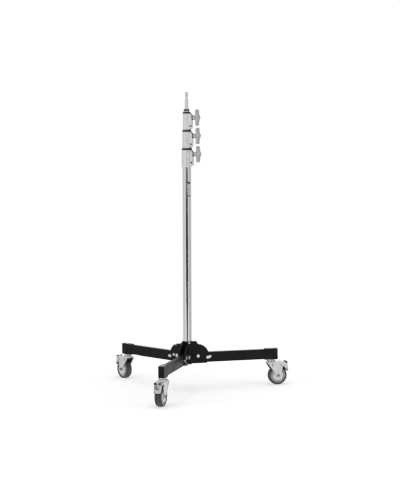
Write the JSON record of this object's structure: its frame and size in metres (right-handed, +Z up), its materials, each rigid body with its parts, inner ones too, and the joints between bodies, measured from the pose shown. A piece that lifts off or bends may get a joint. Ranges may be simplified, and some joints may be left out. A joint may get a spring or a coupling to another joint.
{
  "type": "roller stand",
  "caption": "Rolling light stand: telescopic chrome column with T-handle collars and a baby spigot, on a folding base of rectangular legs with braked casters.",
  "frame": {"origin": "middle of the bounding box's underside, on the floor the wheels stand on", "axes": "+Z up along the column; the front leg points along -Y"},
  "size_m": [0.8304, 0.7318, 1.3196],
  "materials": {
    "chrome": "polished chrome plate",
    "cast_alloy": "bright satin die casting",
    "handle_alloy": "grey satin die casting",
    "black_paint": "semi-gloss black powder coat",
    "black_plastic": "matte moulded",
    "black_rubber": "matte",
    "spigot_steel": "satin machined steel",
    "zinc_bolt": "bright zinc plate",
    "black_bolt": "black oxide",
    "brass_pad": "machined",
    "label": "blank label film",
    "zinc_plate": "zinc plated pressed steel",
    "wheel_grey": "matte moulded",
    "tyre": "grey-black thermoplastic rubber"
  },
  "bodies": {
    "base": {"hub_sleeve": "black_paint", "hub_screws": "zinc_bolt", "pivot_bolts": "zinc_bolt", "bracket_rivets": "zinc_bolt", "column_tube": "chrome", "column_plug": "black_plastic", "label_plate": "label", "collar_1": "cast_alloy", "bush_1": "black_plastic", "clamp_bolt_1": "black_bolt", "leg_bracket_right": "black_paint", "leg_bracket_left": "black_paint", "leg_bracket_front": "black_paint"},
    "guide_2_body": {"guide_2": "black_plastic"},
    "riser_2": {"riser_tube_2": "chrome", "collar_2": "cast_alloy", "bush_2": "black_plastic", "clamp_bolt_2": "black_bolt"},
    "guide_3_body": {"guide_3": "black_plastic"},
    "riser_3": {"riser_tube_3": "chrome", "collar_3": "cast_alloy", "bush_3": "black_plastic", "clamp_bolt_3": "black_bolt"},
    "guide_4_body": {"guide_4": "black_plastic"},
    "riser_4": {"riser_tube_4": "chrome", "top_bumper": "black_rubber", "spigot": "spigot_steel"},
    "pad_1": {"clamp_pad_1": "brass_pad"},
    "handle_1": {"t_handle_1": "handle_alloy"},
    "pad_2": {"clamp_pad_2": "brass_pad"},
    "handle_2": {"t_handle_2": "handle_alloy"},
    "pad_3": {"clamp_pad_3": "brass_pad"},
    "handle_3": {"t_handle_3": "handle_alloy"},
    "leg_right": {"leg_tube_right": "black_paint", "caster_socket_right": "black_paint", "swivel_stem_right": "zinc_plate"},
    "lock_right": {"lock_pin_right": "zinc_bolt"},
    "caster_right": {"fork_right": "zinc_plate", "caster_axles_right": "zinc_plate"},
    "wheel_right": {"wheel_centre_right": "wheel_grey", "tyre_right": "tyre"},
    "pedal_right": {"brake_pedal_right": "zinc_plate"},
    "leg_left": {"leg_tube_left": "black_paint", "caster_socket_left": "black_paint", "swivel_stem_left": "zinc_plate"},
    "lock_left": {"lock_pin_left": "zinc_bolt"},
    "caster_left": {"fork_left": "zinc_plate", "caster_axles_left": "zinc_plate"},
    "wheel_left": {"wheel_centre_left": "wheel_grey", "tyre_left": "tyre"},
    "pedal_left": {"brake_pedal_left": "zinc_plate"},
    "leg_front": {"leg_tube_front": "black_paint", "caster_socket_front": "black_paint", "swivel_stem_front": "zinc_plate"},
    "lock_front": {"lock_pin_front": "zinc_bolt"},
    "caster_front": {"fork_front": "zinc_plate", "caster_axles_front": "zinc_plate"},
    "wheel_front": {"wheel_centre_front": "wheel_grey", "tyre_front": "tyre"},
    "pedal_front": {"brake_pedal_front": "zinc_plate"}
  },
  "joints": [
    {"name": "riser_2_raise", "type": "slide", "parent": "base", "child": "guide_2_body", "axis": [0, 0, 1], "range_m": [0, 0.78]},
    {"name": "riser_2_turn", "type": "hinge", "parent": "guide_2_body", "child": "riser_2", "pos_m": [-0.00227, 0.10843, 0.154], "axis": [0, 0, 1], "continuous": true},
    {"name": "riser_3_raise", "type": "slide", "parent": "riser_2", "child": "guide_3_body", "axis": [0, 0, 1], "range_m": [0, 0.78]},
    {"name": "riser_3_turn", "type": "hinge", "parent": "guide_3_body", "child": "riser_3", "pos_m": [-0.00227, 0.10843, 0.2344], "axis": [0, 0, 1], "continuous": true},
    {"name": "riser_4_raise", "type": "slide", "parent": "riser_3", "child": "guide_4_body", "axis": [0, 0, 1], "range_m": [0, 0.78]},
    {"name": "riser_4_turn", "type": "hinge", "parent": "guide_4_body", "child": "riser_4", "pos_m": [-0.00227, 0.10843, 0.3148], "axis": [0, 0, 1], "continuous": true},
    {"name": "pad_1_slide", "type": "slide", "parent": "base", "child": "pad_1", "axis": [0.9816, -0.1908, 0], "range_m": [0, 0.0015]},
    {"name": "handle_1_turn", "type": "hinge", "parent": "pad_1", "child": "handle_1", "pos_m": [0.04681, 0.09889, 1.046], "axis": [0.9816, -0.1908, 0], "range_deg": [0, 360]},
    {"name": "pad_2_slide", "type": "slide", "parent": "riser_2", "child": "pad_2", "axis": [0.9816, -0.1908, 0], "range_m": [0, 0.0015]},
    {"name": "handle_2_turn", "type": "hinge", "parent": "pad_2", "child": "handle_2", "pos_m": [0.04681, 0.09889, 1.1264], "axis": [0.9816, -0.1908, 0], "range_deg": [0, 360]},
    {"name": "pad_3_slide", "type": "slide", "parent": "riser_3", "child": "pad_3", "axis": [0.9816, -0.1908, 0], "range_m": [0, 0.0015]},
    {"name": "handle_3_turn", "type": "hinge", "parent": "pad_3", "child": "handle_3", "pos_m": [0.04681, 0.09889, 1.2068], "axis": [0.9816, -0.1908, 0], "range_deg": [0, 360]},
    {"name": "leg_right_fold", "type": "hinge", "parent": "base", "child": "leg_right", "pos_m": [0.03583, 0.13043, 0.148], "axis": [0.5, -0.866, 0], "range_deg": [0, 79]},
    {"name": "lock_right_slide", "type": "slide", "parent": "leg_right", "child": "lock_right", "axis": [0.866, 0.5, 0], "range_m": [-0.0062, 0]},
    {"name": "caster_right_swivel", "type": "hinge", "parent": "leg_right", "child": "caster_right", "pos_m": [0.33894, 0.30543, 0.102], "axis": [0, 0, 1], "continuous": true},
    {"name": "wheel_right_roll", "type": "hinge", "parent": "caster_right", "child": "wheel_right", "pos_m": [0.36492, 0.32043, 0.042], "axis": [-0.5, 0.866, 0], "continuous": true},
    {"name": "pedal_right_tip", "type": "hinge", "parent": "caster_right", "child": "pedal_right", "pos_m": [0.37618, 0.32693, 0.088], "axis": [-0.5, 0.866, 0], "range_deg": [-8, 0]},
    {"name": "leg_left_fold", "type": "hinge", "parent": "base", "child": "leg_left", "pos_m": [-0.04038, 0.13043, 0.148], "axis": [0.5, 0.866, 0], "range_deg": [0, 79]},
    {"name": "lock_left_slide", "type": "slide", "parent": "leg_left", "child": "lock_left", "axis": [-0.866, 0.5, 0], "range_m": [-0.0062, 0]},
    {"name": "caster_left_swivel", "type": "hinge", "parent": "leg_left", "child": "caster_left", "pos_m": [-0.34348, 0.30543, 0.102], "axis": [0, 0, 1], "continuous": true},
    {"name": "wheel_left_roll", "type": "hinge", "parent": "caster_left", "child": "wheel_left", "pos_m": [-0.36713, 0.3239, 0.042], "axis": [-0.6157, -0.788, 0], "continuous": true},
    {"name": "pedal_left_tip", "type": "hinge", "parent": "caster_left", "child": "pedal_left", "pos_m": [-0.37737, 0.33191, 0.088], "axis": [-0.6157, -0.788, 0], "range_deg": [-8, 0]},
    {"name": "leg_front_fold", "type": "hinge", "parent": "base", "child": "leg_front", "pos_m": [-0.00227, 0.06443, 0.148], "axis": [-1, 0, 0], "range_deg": [0, 79]},
    {"name": "lock_front_slide", "type": "slide", "parent": "leg_front", "child": "lock_front", "axis": [0, -1, 0], "range_m": [-0.0062, 0]},
    {"name": "caster_front_swivel", "type": "hinge", "parent": "leg_front", "child": "caster_front", "pos_m": [-0.00227, -0.28557, 0.102], "axis": [0, 0, 1], "continuous": true},
    {"name": "wheel_front_roll", "type": "hinge", "parent": "caster_front", "child": "wheel_front", "pos_m": [-0.00384, -0.31553, 0.042], "axis": [0.9986, -0.0523, 0], "continuous": true},
    {"name": "pedal_front_tip", "type": "hinge", "parent": "caster_front", "child": "pedal_front", "pos_m": [-0.00452, -0.32851, 0.088], "axis": [0.9986, -0.0523, 0], "range_deg": [-8, 0]}
  ],
  "couplings": [
    {"joint": "pad_1_slide", "follows": "handle_1_turn", "m_per_rad": 0.0002387},
    {"joint": "pad_2_slide", "follows": "handle_2_turn", "m_per_rad": 0.0002387},
    {"joint": "pad_3_slide", "follows": "handle_3_turn", "m_per_rad": 0.0002387}
  ]
}
